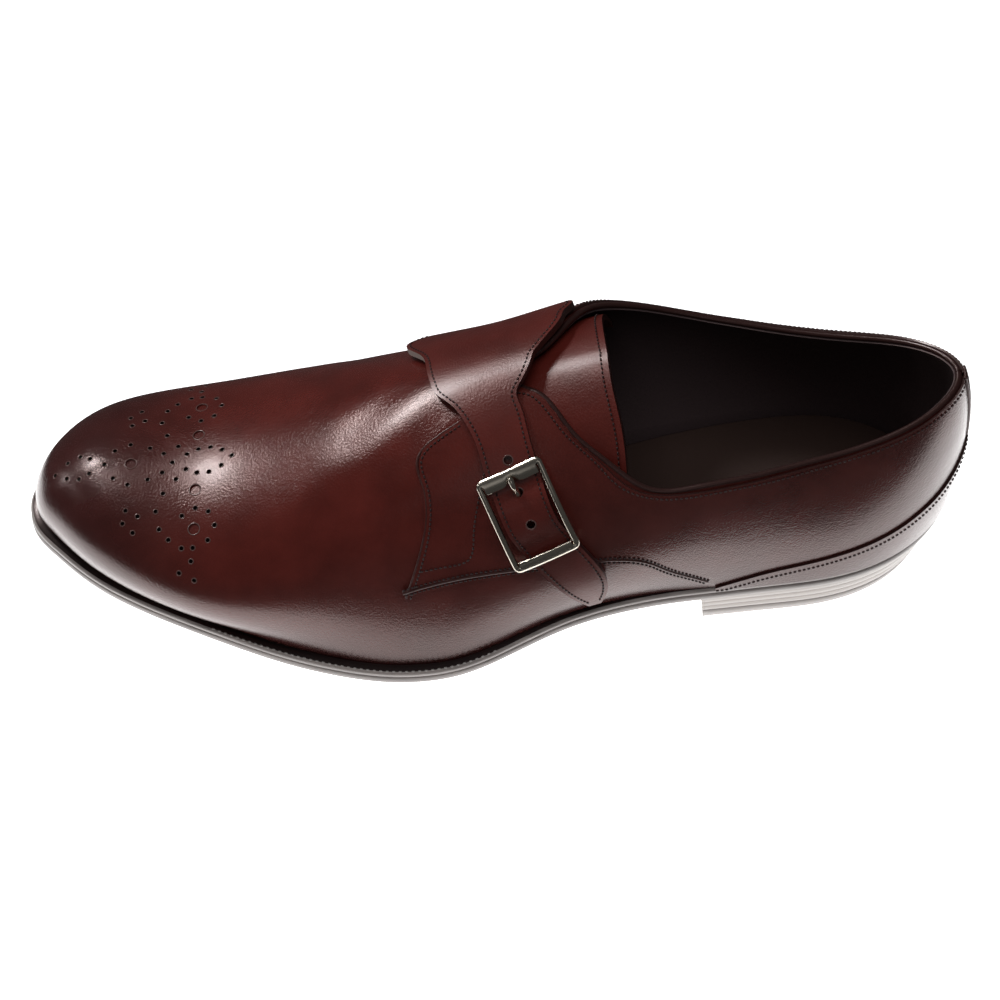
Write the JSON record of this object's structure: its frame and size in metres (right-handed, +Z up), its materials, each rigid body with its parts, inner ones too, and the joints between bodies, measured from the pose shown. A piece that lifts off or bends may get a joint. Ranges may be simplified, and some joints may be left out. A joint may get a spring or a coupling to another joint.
{
  "type": "monk strap shoe",
  "caption": "Left leather monk strap shoe: hollow closed upper with a low collar, side buckle strap, tongue, welted sole and low stacked heel; rests on heel and ball",
  "frame": {"origin": "on the floor, under the middle of the shoe's box", "axes": "-X toward the toe, +X toward the heel, -Y the outer side with the buckle, +Y the inner side, +Z up"},
  "size_m": [0.3062, 0.1042, 0.0902],
  "materials": {
    "outsole": "burnished brown edge, worn matte underside",
    "welt": "near-black, waxed",
    "heel_stack": "stacked leather, grey-brown, waxed edge",
    "heel_top_piece": "matte",
    "insole": "plain vegetable-tanned leather",
    "upper": "polished burgundy calf, burnished darker at the toe",
    "tongue": "burgundy calf",
    "lateral_quarter": "polished burgundy calf",
    "medial_quarter": "polished burgundy calf",
    "counter": "polished burgundy calf, darker",
    "backstay": "polished burgundy calf, darker",
    "strap": "polished burgundy calf",
    "buckle_frame": "polished silver",
    "buckle_prong": "polished silver"
  },
  "bodies": {
    "root": {"outsole": "outsole", "welt": "welt", "heel_stack": "heel_stack", "heel_top_piece": "heel_top_piece", "insole": "insole", "upper": "upper", "tongue": "tongue", "lateral_quarter": "lateral_quarter", "medial_quarter": "medial_quarter", "counter": "counter", "backstay": "backstay", "strap": "strap", "buckle_frame": "buckle_frame", "buckle_prong": "buckle_prong"}
  },
  "joints": []
}
